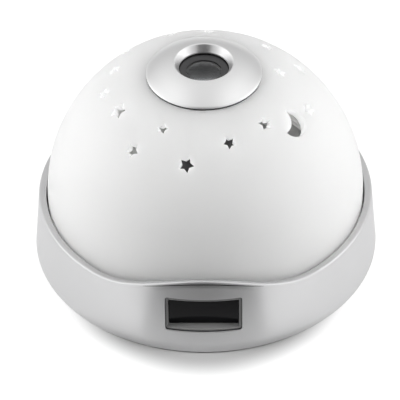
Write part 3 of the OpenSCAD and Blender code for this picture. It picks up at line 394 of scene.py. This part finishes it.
SLOT_OF = {s["node"]: s["material_slot"] for s in frame["record"]["subparts"]}


def paint(obj, slot_name):
    obj.data.materials.clear()
    obj.data.materials.append(MATERIALS[slot_name])


def piece(obj, body, slot_name, *replaced):
    """Paints a piece, ties it to its body and hides the nodes that it stands in for."""
    paint(obj, slot_name)
    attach(obj, body)
    if replaced:
        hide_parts(*replaced)
    return obj


def soften(node_name, width):
    """Small round on the sharp edges of a moulded piece."""
    mod = NODES[node_name].modifiers.new("edge", "BEVEL")
    mod.width = width * MM
    mod.segments = 2
    mod.limit_method = "ANGLE"
    mod.angle_limit = math.radians(40)


for node_name, node in NODES.items():
    paint(node, SLOT_OF[node_name])

for node_name, width in (("lcd_bezel", 0.12), ("battery_door", 0.25), ("feet", 0.4), ("switch_knob", 0.2),
                         ("mode_key", 0.25), ("set_key", 0.25), ("up_key", 0.25), ("down_key", 0.25)):
    soften(node_name, width)


# Base shell: the wall's section is lofted round the axis, then the openings are cut

def wall_r(z):
    return BASE_R - (BASE_R - RIM_R) * (z - FOOT_GAP) / (RIM_Z - FOOT_GAP)


def brow(a):
    """Share of the brow at an angle from the front: 1 in the middle, 0 from its ends on."""
    return (1 + math.cos(math.pi * a / BROW_HALF)) / 2 if abs(a) < BROW_HALF else 0.0


def cove_r(a, z):
    """Radius of the wall under the bead, at an angle from the front."""
    top = RIM_Z + BROW_RISE * brow(a)
    t = (z - top + FLARE_H) / (FLARE_H - LIP_R)
    cove = max(0.0, (t - COVE_FROM) / (1 - COVE_FROM)) ** 2
    return wall_r(z) + (WALL_FLARE * t ** 2 - COVE_DEPTH * cove) * brow(a)


def wall_section(a):
    """Section at an angle from the front. The brow ends in a round bead over a shallow cove."""
    top = RIM_Z + BROW_RISE * brow(a)
    start = top - FLARE_H
    edge = wall_r(top) + BROW_FLARE * brow(a)
    inner = edge - RIM_WALL + (RIM_WALL - BROW_WALL) * brow(a)
    bead = arc(edge - LIP_R, top - LIP_R, LIP_R, BEAD_UNDER * brow(a), 90, 12)
    pts = arc(wall_r(TOE_Z) - TOE_R, TOE_Z + TOE_R, TOE_R, -90, 0, 6)
    pts += [(wall_r(z), z) for z in spread(TOE_Z + TOE_R, start, 6)[1:-1]]
    pts += [(cove_r(a, z), z) for z in spread(start, bead[0][1], 20)]
    pts += bead
    pts += arc(inner + INNER_LIP_R, top - INNER_LIP_R, INNER_LIP_R, 90, 180, 6)
    pts += [(wall_r(z) - BASE_WALL, z) for z in spread(start, TOE_Z, 4)]
    return pts


def section_ring(bm, a, section):
    """Vertices of a section of (radius, height) in millimetres, at an angle from the front."""
    t = math.radians(a)
    return [bm.verts.new((r * MM * math.sin(t), -r * MM * math.cos(t), z * MM)) for r, z in section]


def window_outline():
    """Middle line of the window's edge about the window's middle, with a wider seam under the sill."""
    more = 2 * WINDOW_EDGE
    outline = round_rect(WINDOW_W + more, WINDOW_H + more + WINDOW_SLACK, WINDOW_CORNER + WINDOW_EDGE)
    return [(x, z - WINDOW_SLACK / 2) for x, z in outline]


def make_base():
    bm = bmesh.new()
    angles = spread(-180, 180, BASE_STEPS)[:-1]
    grid_faces(bm, [section_ring(bm, a, wall_section(a)) for a in angles])
    base = new_object("base_ring", bm)
    cutters = [prism_y("window_cut", window_outline(), 0, WINDOW_MID, -CUT_FAR, -CUT_NEAR)]
    key_hole = round_rect(KEY_W + 2 * KEY_GAP, KEY_H + 2 * KEY_GAP, KEY_H / 2)
    cutters += [prism_y("key_cut", key_hole, x, KEY_Z, CUT_NEAR, CUT_FAR) for x in KEY_X]
    cut(base, cutters)
    return base


def window_path():
    """Middle line of the window's rounded edge, just below the wall's face."""
    corners = window_outline()
    path = []
    for (x0, z0), (x1, z1) in zip(corners, corners[1:] + corners[:1]):
        steps = max(1, round(math.hypot(x1 - x0, z1 - z0)))
        for x, rise in list(zip(spread(x0, x1, steps), spread(z0, z1, steps)))[:-1]:
            z = WINDOW_MID + rise
            outward = Vector((x, -math.sqrt(wall_r(z) ** 2 - x * x), 0)).normalized()
            r = wall_r(z) - WINDOW_EDGE
            path.append((Vector((outward.x * r, outward.y * r, z)) * MM, outward))
    return path


def make_window_edge():
    bm = bmesh.new()
    add_tube(bm, window_path(), WINDOW_EDGE, closed=True)
    return new_object("window_edge", bm, 60.0)


def make_brow_shade_line():
    """Painted shade: a dark strip in the cove under the bead, standing in for the shadow under the lip, which
    tapers off to both sides.
    """
    bm = bmesh.new()
    rings = []
    for a in spread(-BROW_HALF, BROW_HALF, SHADE_LINE_STEPS):
        share = max(0.0, (brow(a) - SHADE_LINE_FROM) / (1 - SHADE_LINE_FROM))
        if not share:
            continue
        middle = RIM_Z - SHADE_LINE_TOP + (BROW_RISE - SHADE_LINE_DROP) * brow(a)
        oval = [(u * SHADE_LINE_OUT * share, middle + v * SHADE_LINE_HALF * share) for u, v in arc(0, 0, 1, 0, 330, 11)]
        rings.append(section_ring(bm, a, [(cove_r(a, z) + out, z) for out, z in oval]))
    add_loft(bm, rings)
    return new_object("brow_shade_line", bm)


piece(make_base(), "base", "silver_paint", "base_shell")
# Dark strip that paints the shade under the brow's bead
piece(make_brow_shade_line(), "base", "black_plastic")
piece(make_window_edge(), "base", "silver_paint")


# Display: a dark plate whose middle stands forward in the frame

def make_display():
    low, high = (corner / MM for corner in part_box("display_lens"))
    middle = (low.z + high.z) / 2
    front = low.y - DISPLAY_RAISE
    steps = [(high.y, 0.0), (low.y, 0.0), (low.y, DISPLAY_LAP)]
    steps += [(front + DISPLAY_EDGE - z, DISPLAY_LAP + DISPLAY_EDGE - x)
              for x, z in arc(0, 0, DISPLAY_EDGE, 0, 90, 4)]
    bm = bmesh.new()
    loops = []
    for y, inset in steps:
        outline = round_rect(high.x - low.x - 2 * inset, high.z - low.z - 2 * inset, DISPLAY_CORNER)
        loops.append([bm.verts.new((x * MM, y * MM, (middle + z) * MM)) for x, z in outline])
    add_loft(bm, loops)
    return new_object("display_plate", bm)


piece(make_display(), "base", "display_dark", "display_lens")


# Focus ring: an edge, a swelled slope, a round crest and a bowl

def chord(r, x):
    return math.sqrt(r * r - x * x)


CROWN_TURN = math.radians(CROWN_FROM)
CROWN = Vector((0, DOME_Z)) + (DOME_R - CROWN_R) * Vector((math.sin(CROWN_TURN), math.cos(CROWN_TURN)))


def above_dome(x, gap=0.0):
    """Height of the dome's crown at a radius, or of a surface at a gap over it."""
    return CROWN.y + chord(CROWN_R + gap, x - CROWN.x)


RING_TOP = above_dome(RING_CREST_R) + RING_RISE
LIP_Z = RING_TOP - BOWL_DEPTH
MASK_TOP = LIP_Z - LIP_T - MASK_DROP


def bulge(p, q, height, steps):
    """Points of a flat arc from p to q, which rises by a height over the straight line."""
    p, q = Vector(p), Vector(q)
    d = q - p
    out = Vector((d.y, -d.x)).normalized()
    r = (d.length_squared / 4 + height * height) / (2 * height)
    middle = (p + q) / 2 - out * (r - height)
    a, b = (math.degrees(math.atan2(v.y - middle.y, v.x - middle.x)) for v in (p, q))
    return arc(middle.x, middle.y, r, a, b, steps)


def make_ring():
    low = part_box("focus_ring")[0].z / MM
    foot = above_dome(RING_R) + RING_GAP + RING_LIFT
    under = zip(spread(RING_SKIRT_R, RING_R - RING_EDGE_R, 8), spread(0.0, RING_LIFT, 8))
    crest = arc(RING_CREST_R, RING_TOP - CREST_ROUND, CREST_ROUND, CREST_FROM, CREST_TO, 8)
    inside = crest[-1]
    bowl = list(zip(spread(inside[0], RING_LIP_R, 8), spread(inside[1], LIP_Z, 8)))
    profile = [(RING_SKIRT_IN, low), (RING_SKIRT_R, low)]
    profile += [(r, above_dome(r, RING_GAP) + lift) for r, lift in under]
    profile += arc(RING_R - RING_EDGE_R, foot + RING_EDGE_R, RING_EDGE_R, -60, 0, 3)
    profile += bulge((RING_R - RING_EDGE_LEAN, foot + RING_EDGE_H), crest[0], RING_SWELL, 24)
    profile += crest[1:] + bowl[1:]
    profile += [(RING_LIP_R, LIP_Z - LIP_T), (RING_SKIRT_IN, LIP_Z - LIP_T)]
    bm = bmesh.new()
    add_lathe(bm, profile)
    return new_object("ring_turned", bm)


def make_ring_shade_band():
    """Painted shade: a dark band in the gap between the dome and the ring's foot, standing in for the gap's
    shadow.
    """
    outer, inner = RING_R - SHADE_BAND_SHORT, RING_R - SHADE_BAND_IN
    profile = [(inner, above_dome(inner)), (outer, above_dome(outer))]
    profile += [(outer, above_dome(outer) + RING_GAP + RING_LIFT), (inner, above_dome(inner) + RING_GAP)]
    bm = bmesh.new()
    add_lathe(bm, profile)
    return new_object("ring_shade_band", bm)


piece(make_ring(), "ring_body", "ring_silver", "focus_ring")
# Dark band that paints the shade under the ring's foot
piece(make_ring_shade_band(), "ring_body", "black_plastic")


# Front lens and its black edge

def make_front_glass():
    """Front lens: a domed eye on a flat edge, close under the ring's lip."""
    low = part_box("front_lens")[0].z / MM
    flat = MASK_TOP - MASK_T
    turn = math.degrees(math.asin(GLASS_EYE_R / GLASS_CURVE))
    face = arc(0.0, flat - chord(GLASS_CURVE, GLASS_EYE_R), GLASS_CURVE, 90 - turn, 90, 24)
    bm = bmesh.new()
    add_lathe(bm, [(0.0, low), (GLASS_R, low), (GLASS_R, flat)] + face, segments=128)
    weld(bm)
    return new_object("front_glass", bm)


def make_lens_mask():
    """Black edge of the lens, which slopes down to the eye."""
    inner, low = GLASS_EYE_R - MASK_LAP, MASK_TOP - MASK_T
    profile = [(inner, low), (GLASS_R, low), (GLASS_R, MASK_TOP)]
    profile += [(GLASS_R - MASK_FLAT, MASK_TOP), (inner, MASK_TOP - MASK_SLOPE)]
    bm = bmesh.new()
    add_lathe(bm, profile, segments=128)
    return new_object("lens_mask", bm)


piece(make_front_glass(), "lens_body", "lens_glass", "front_lens")
piece(make_lens_mask(), "lens_body", "black_plastic")


# Screws under the base, with cross recesses

def make_screws():
    low, high = SCREW_HEAD_Z
    tip = high + SCREW_LEN
    profile = [(0.0, low)] + arc(SCREW_HEAD_R - SCREW_EDGE, low + SCREW_EDGE, SCREW_EDGE, -90, 0, 4)
    profile += [(SCREW_HEAD_R, high), (SCREW_R, high), (SCREW_R, tip - SCREW_R), (0.0, tip)]
    bm = bmesh.new()
    slots = bmesh.new()
    for k in range(4):
        a = math.radians(45 + 90 * k)
        x, y = SCREW_AT * math.cos(a), SCREW_AT * math.sin(a)
        add_lathe(bm, profile, Matrix.Translation((x * MM, y * MM, 0)), 48)
        for w, d in ((CROSS_LONG, CROSS_WIDE), (CROSS_WIDE, CROSS_LONG)):
            add_box(slots, (x - w, y - d, low - CROSS_DEPTH), (x + w, y + d, low + CROSS_DEPTH))
    weld(bm)
    screws = new_object("cross_screws", bm)
    cut(screws, [new_object("cross_cut", slots)])
    return screws


piece(make_screws(), "base", "steel", "bottom_screws")


# Battery cells and their contacts: a cone spring at each flat end and a pressed button at each nub

def cell_rows():
    """Way and place of each cell: the middle one lies the other way round."""
    return [(1 if i else -1, i * CELL_PITCH) for i in (-1, 0, 1)]


def lie(side, x, y):
    """Place that lays a piece modelled along +Z along +X or -X, at a cell's height."""
    turn = Matrix.Rotation(math.radians(90 * side), 4, "Y")
    return Matrix.Translation((x * MM, y * MM, CELL_Z * MM)) @ turn


def make_cells():
    half = CELL_LEN / 2
    top = half - NUB_LEN
    neck = top - GROOVE_DEPTH
    round_r = CELL_R - CELL_SHOULDER
    profile = [(0.0, -half)] + arc(round_r, -half + CELL_SHOULDER, CELL_SHOULDER, -90, 0, 5)
    profile += arc(round_r, top - CELL_SHOULDER, CELL_SHOULDER, 0, 90, 5)
    profile += [(NUB_R + GROOVE_OUT, top), (NUB_R + GROOVE_IN, neck), (NUB_R, neck)]
    profile += arc(NUB_R - NUB_EDGE, half - NUB_EDGE, NUB_EDGE, 0, 90, 4) + [(0.0, half)]
    bm = bmesh.new()
    for side, y in cell_rows():
        add_lathe(bm, profile, lie(side, 0, y), 64)
    weld(bm)
    return new_object("wrapped_cells", bm)


def add_button(bm, facing, reach):
    """Pressed button that touches a cell's nub."""
    profile = [(0.0, -BUTTON_SINK), (BUTTON_R, -BUTTON_SINK), (BUTTON_R, 0.0)]
    profile += arc(BUTTON_FLAT_R, 0.0, reach, 0, 90, 6) + [(0.0, reach)]
    add_lathe(bm, profile, facing, 32)


def add_coil(bm, facing, reach):
    """Wire spring that narrows towards a cell's flat end."""
    path = []
    for t in spread(0.0, 1.0, COIL_STEPS):
        a = 2 * math.pi * COIL_TURNS * t
        r = COIL_FOOT_R + (COIL_TIP_R - COIL_FOOT_R) * t
        out = Vector((math.cos(a), math.sin(a), 0))
        point = Vector((r * out.x, r * out.y, COIL_WIRE + (reach - 2 * COIL_WIRE) * t))
        path.append((facing @ (point * MM), facing.to_3x3() @ out))
    add_tube(bm, path, COIL_WIRE, closed=False, sides=8)


def make_contacts():
    bm = bmesh.new()
    half, face = CONTACT_W / 2, BAY_X - CONTACT_T
    reach = face - CELL_LEN / 2 - CONTACT_PLAY
    for side, y in cell_rows():
        for end in (-1, 1):
            inner, outer = sorted((end * face, end * BAY_X))
            add_box(bm, (inner, y - half, CELL_Z - half), (outer, y + half, CELL_Z + half))
            add_contact = add_button if end == side else add_coil
            add_contact(bm, lie(-end, end * face, y), reach)
    weld(bm)
    return new_object("spring_contacts", bm)


piece(make_cells(), "base", "cell_wrap", "battery_cells")
piece(make_contacts(), "base", "steel", "battery_contacts")


# Camera, fitted to the photograph
AIM = Vector((0, 0, 0.03))
DISTANCE = 0.9
ELEVATION, AZIMUTH, ROLL = 40.18, 1.1, -0.69
FOCAL_PX, IMAGE_PX, SENSOR_MM = 2778.0, 400.0, 36.0
AXIS_PX = (205.10, 165.99)


def make_camera():
    el, az, roll = (math.radians(v) for v in (ELEVATION, AZIMUTH, ROLL))
    back = Vector((math.sin(az) * math.cos(el), -math.cos(az) * math.cos(el), math.sin(el)))
    right = Vector((math.cos(az), math.sin(az), 0))
    up = back.cross(right)
    right, up = (math.cos(roll) * right + math.sin(roll) * up, -math.sin(roll) * right + math.cos(roll) * up)
    place = AIM + DISTANCE * back
    across, down = ((IMAGE_PX / 2 - p) / FOCAL_PX for p in AXIS_PX)
    back = -(-back + right * across - up * down).normalized()
    right = (right - right.dot(back) * back).normalized()
    up = back.cross(right)
    data = bpy.data.cameras.new("camera")
    data.sensor_width = SENSOR_MM
    data.lens = FOCAL_PX / IMAGE_PX * SENSOR_MM
    data.clip_start, data.clip_end = 0.01, 20.0
    obj = bpy.data.objects.new("camera", data)
    obj.matrix_world = Matrix(((right.x, up.x, back.x, place.x), (right.y, up.y, back.y, place.y),
                               (right.z, up.z, back.z, place.z), (0, 0, 0, 1)))
    bpy.context.scene.collection.objects.link(obj)
    bpy.context.scene.camera = obj


make_camera()


# Floor, lamps, and the light tent and dark cards that reflections see, in metres
FLOOR_HALF, FLOOR_GREY, FLOOR_VARY = 4.0, 0.42, 0.01
FLOOR_GLOW, FLOOR_SHINE = 0.64, 0.44
# Where the floor's glow fades out round a middle shifted to the front: a painted shadow round the base,
# narrower at the sides
GLOW_FROM, GLOW_TO = 0.042, 0.054
GLOW_MIDDLE, GLOW_OVAL = (0.0, -0.016, 0.0), (1.1, 1.0, 1.0)
AMBIENT = 0.26
TENT_LOW, TENT_HIGH, TENT_SIDE, TENT_PANEL = 0.48, 0.72, 0.66, 0.95
FLAG_NEAR, FLAG_FAR, FLAG_LIGHT, FLAG_DARK = -0.058, -0.1, 0.55, 0.04
FLAGS = {
    "flag_upright": [(-0.75, -1.5, 0.02), (0.75, -1.5, 0.02), (0.75, -1.3, 1.6), (-0.75, -1.3, 1.6)],
    "flag_level": [(-0.025, FLAG_NEAR, 0.001), (0.025, FLAG_NEAR, 0.001), (0.8, -1.3, 0.001),
                   (-0.8, -1.3, 0.001)],
}

# Name, place, width, height and watts of each lamp
LAMPS = (
    ("lamp_left", (-0.62, -0.07, 0.29), 0.3, 0.5, 4.75),
    ("lamp_right", (0.62, -0.07, 0.29), 0.3, 0.5, 4.9),
    ("fill_left", (-0.5, -0.4, 0.3), 0.4, 0.4, 0.1),
    ("fill_right", (0.5, -0.4, 0.3), 0.4, 0.4, 0.1),
    ("lamp_top", (0.0, 0.2, 0.85), 0.6, 0.6, 2.5),
)


def plane(name, corners):
    bm = bmesh.new()
    bm.faces.new([bm.verts.new(c) for c in corners])
    return new_object(name, bm)


def floor_glow(tree, coords):
    """Glow that the camera and reflections see, which fades out round the base: a painted shadow, reaching
    further in front than at the sides.
    """
    oval = tree.nodes.new("ShaderNodeMapping")
    oval.inputs["Scale"].default_value = GLOW_OVAL
    tree.links.new(coords, oval.inputs["Vector"])
    away = tree.nodes.new("ShaderNodeVectorMath")
    away.operation = "DISTANCE"
    away.inputs[1].default_value = GLOW_MIDDLE
    tree.links.new(oval.outputs["Vector"], away.inputs[0])
    # Share of the glow outside the painted shadow round the base
    outside_painted_shadow = remap(tree, away.outputs["Value"], GLOW_FROM, GLOW_TO, kind="SMOOTHSTEP")
    path = tree.nodes.new("ShaderNodeLightPath")
    seen = remap(tree, path.outputs["Is Camera Ray"], 0.0, 1.0, high=FLOOR_GLOW)
    reflected = remap(tree, path.outputs["Is Glossy Ray"], 0.0, 1.0, high=FLOOR_SHINE)
    level = combine(tree, "MULTIPLY", combine(tree, "ADD", seen, reflected), outside_painted_shadow)
    glow = tree.nodes.new("ShaderNodeEmission")
    tree.links.new(level, glow.inputs["Strength"])
    return glow.outputs[0]


def make_floor():
    """Pale floor that reads as white to the camera and in reflections, except round the base, where the shadow
    is partly the lamps' real shadow and partly painted by the fading glow.
    """
    half = FLOOR_HALF
    floor = plane("floor", [(-half, -half, 0), (half, -half, 0), (half, half, 0), (-half, half, 0)])
    mat, tree, s = node_tree("floor_white")
    coords = object_coords(tree)
    low, high = grey(FLOOR_GREY - FLOOR_VARY), grey(FLOOR_GREY + FLOOR_VARY)
    tree.links.new(ramp(tree, noise(tree, coords, 3.0, 2.0), low, high), s.inputs["Base Color"])
    s.inputs["Roughness"].default_value = 0.6
    s.inputs["Specular IOR Level"].default_value = 0.2
    add = tree.nodes.new("ShaderNodeAddShader")
    tree.links.new(s.outputs[0], add.inputs[0])
    tree.links.new(floor_glow(tree, coords), add.inputs[1])
    tree.links.new(add.outputs[0], tree.nodes["Material Output"].inputs["Surface"])
    floor.data.materials.append(mat)


def tent_level(tree):
    """Light tent that reflections see: paler upwards, with panels at the upper sides and low at the sides."""
    x, _, z = axes(tree, tree.nodes.new("ShaderNodeTexCoord").outputs["Generated"])
    across, up = combine(tree, "MULTIPLY", x, x), combine(tree, "MULTIPLY", z, z)
    level = remap(tree, z, 0.0, 1.0, TENT_LOW, TENT_HIGH)
    upper = combine(tree, "MULTIPLY", remap(tree, across, 0.0, 0.25, high=TENT_SIDE), up)
    level = combine(tree, "ADD", level, upper)
    return combine(tree, "ADD", level, remap(tree, across, 0.5, 0.9, high=TENT_PANEL))


def make_world():
    """Soft light for the object, the tent for its reflections and plain white for the camera."""
    world = bpy.data.worlds.new("studio")
    world.use_nodes = True
    tree = world.node_tree
    tree.nodes.clear()
    soft, tent, white = (tree.nodes.new("ShaderNodeBackground") for _ in range(3))
    for light in (soft, tent, white):
        light.inputs["Color"].default_value = (1.0, 1.0, 1.0, 1.0)
    soft.inputs["Strength"].default_value = AMBIENT
    tree.links.new(tent_level(tree), tent.inputs["Strength"])
    path = tree.nodes.new("ShaderNodeLightPath")
    seen = combine(tree, "MAXIMUM", path.outputs["Is Camera Ray"], path.outputs["Is Transmission Ray"])
    shader = blend(tree, path.outputs["Is Glossy Ray"], soft.outputs[0], tent.outputs[0])
    shader = blend(tree, seen, shader, white.outputs[0])
    tree.links.new(shader, tree.nodes.new("ShaderNodeOutputWorld").inputs[0])
    bpy.context.scene.world = world


def make_flags():
    """Dark cards in front, one upright and one level, that darken away from the base."""
    mat, tree, s = node_tree("flag_grey")
    near = remap(tree, axes(tree, object_coords(tree))["Y"], FLAG_FAR, FLAG_NEAR)
    tree.links.new(ramp(tree, near, grey(FLAG_DARK), grey(FLAG_LIGHT), 0.0, 1.0), s.inputs["Base Color"])
    s.inputs["Roughness"].default_value = 0.9
    for name, corners in FLAGS.items():
        flag = plane(name, corners)
        flag.data.materials.append(mat)
        flag.visible_camera = flag.visible_diffuse = flag.visible_shadow = False


def lamp(name, place, width, height, watts):
    data = bpy.data.lights.new(name, "AREA")
    data.shape = "RECTANGLE"
    data.size, data.size_y = width, height
    data.energy = watts
    obj = bpy.data.objects.new(name, data)
    obj.location = place
    obj.rotation_euler = (AIM - Vector(place)).to_track_quat("-Z", "Y").to_euler()
    obj.visible_glossy = False
    bpy.context.scene.collection.objects.link(obj)


make_floor()
make_world()
make_flags()
for settings in LAMPS:
    lamp(*settings)

bpy.context.scene.view_settings.view_transform = "Standard"
